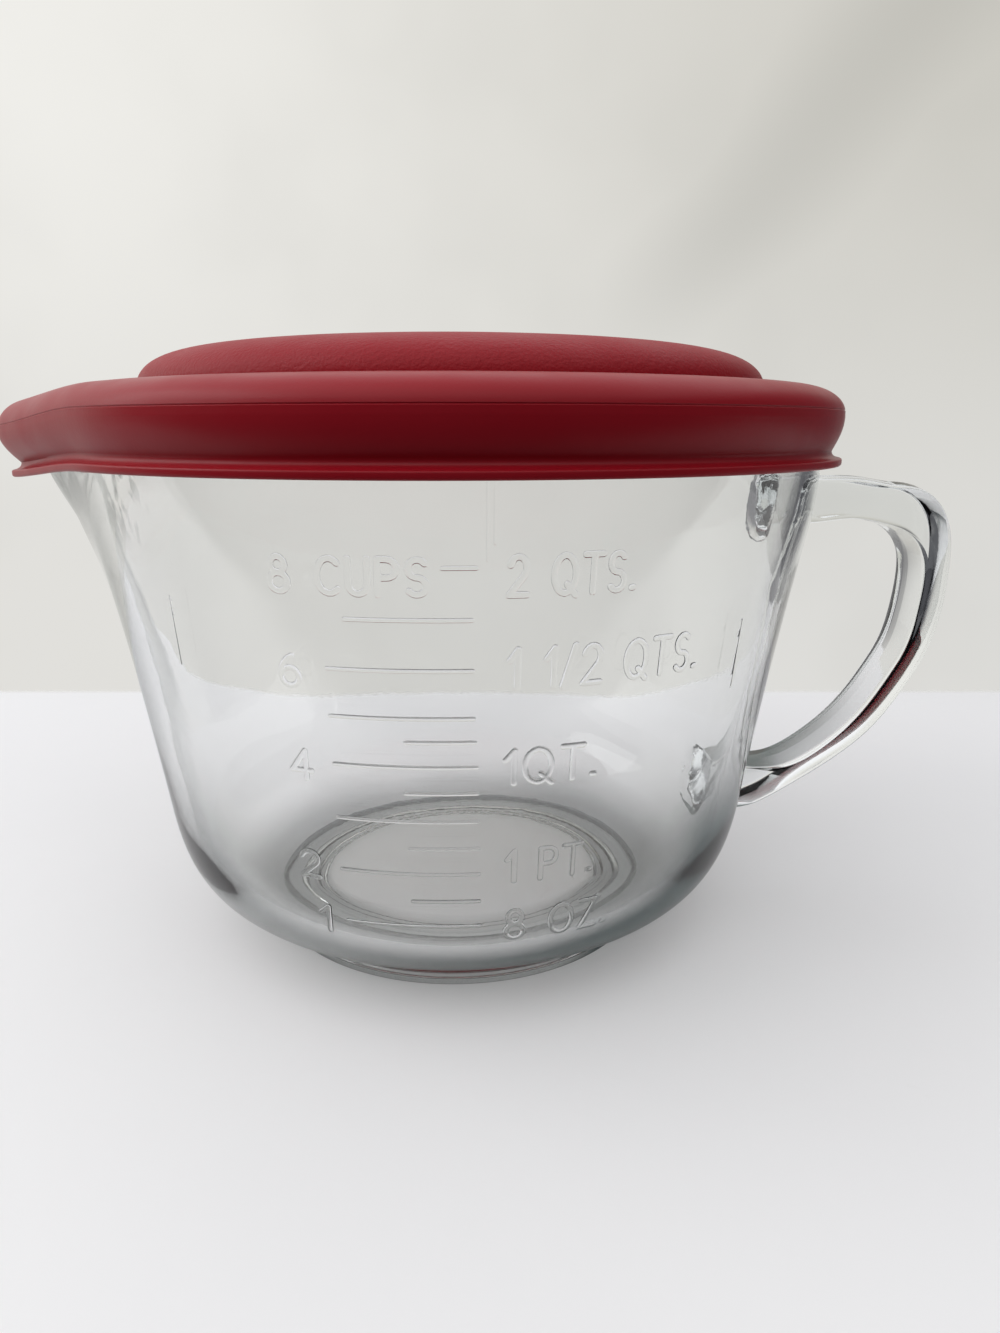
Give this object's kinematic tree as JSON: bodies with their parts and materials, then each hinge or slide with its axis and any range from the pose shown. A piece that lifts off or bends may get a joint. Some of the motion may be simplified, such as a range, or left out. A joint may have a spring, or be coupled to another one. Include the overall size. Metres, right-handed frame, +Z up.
{
  "type": "batter bowl",
  "caption": "Clear pressed-glass batter bowl with a loop handle, a pouring spout and a raised measuring scale, under a red plastic lid that presses on and lifts off.",
  "frame": {"origin": "on the bowl's own axis, in the plane that the foot ring stands on", "axes": "+Z up along the bowl's axis, +X towards the handle, -X towards the spout, -Y towards the measuring scale"},
  "size_m": [0.2567, 0.196, 0.153],
  "materials": {
    "glass": "clear pressed glass, fire polished",
    "lid_plastic": "satin moulded plastic, finely grained on the raised middle"
  },
  "bodies": {
    "bowl": {"bowl": "glass", "handle": "glass"},
    "lid": {"lid": "lid_plastic"}
  },
  "joints": [
    {"name": "lid_lift", "type": "slide", "parent": "bowl", "child": "lid", "axis": [0, 0, 1], "range_m": [0, 0.1]}
  ]
}
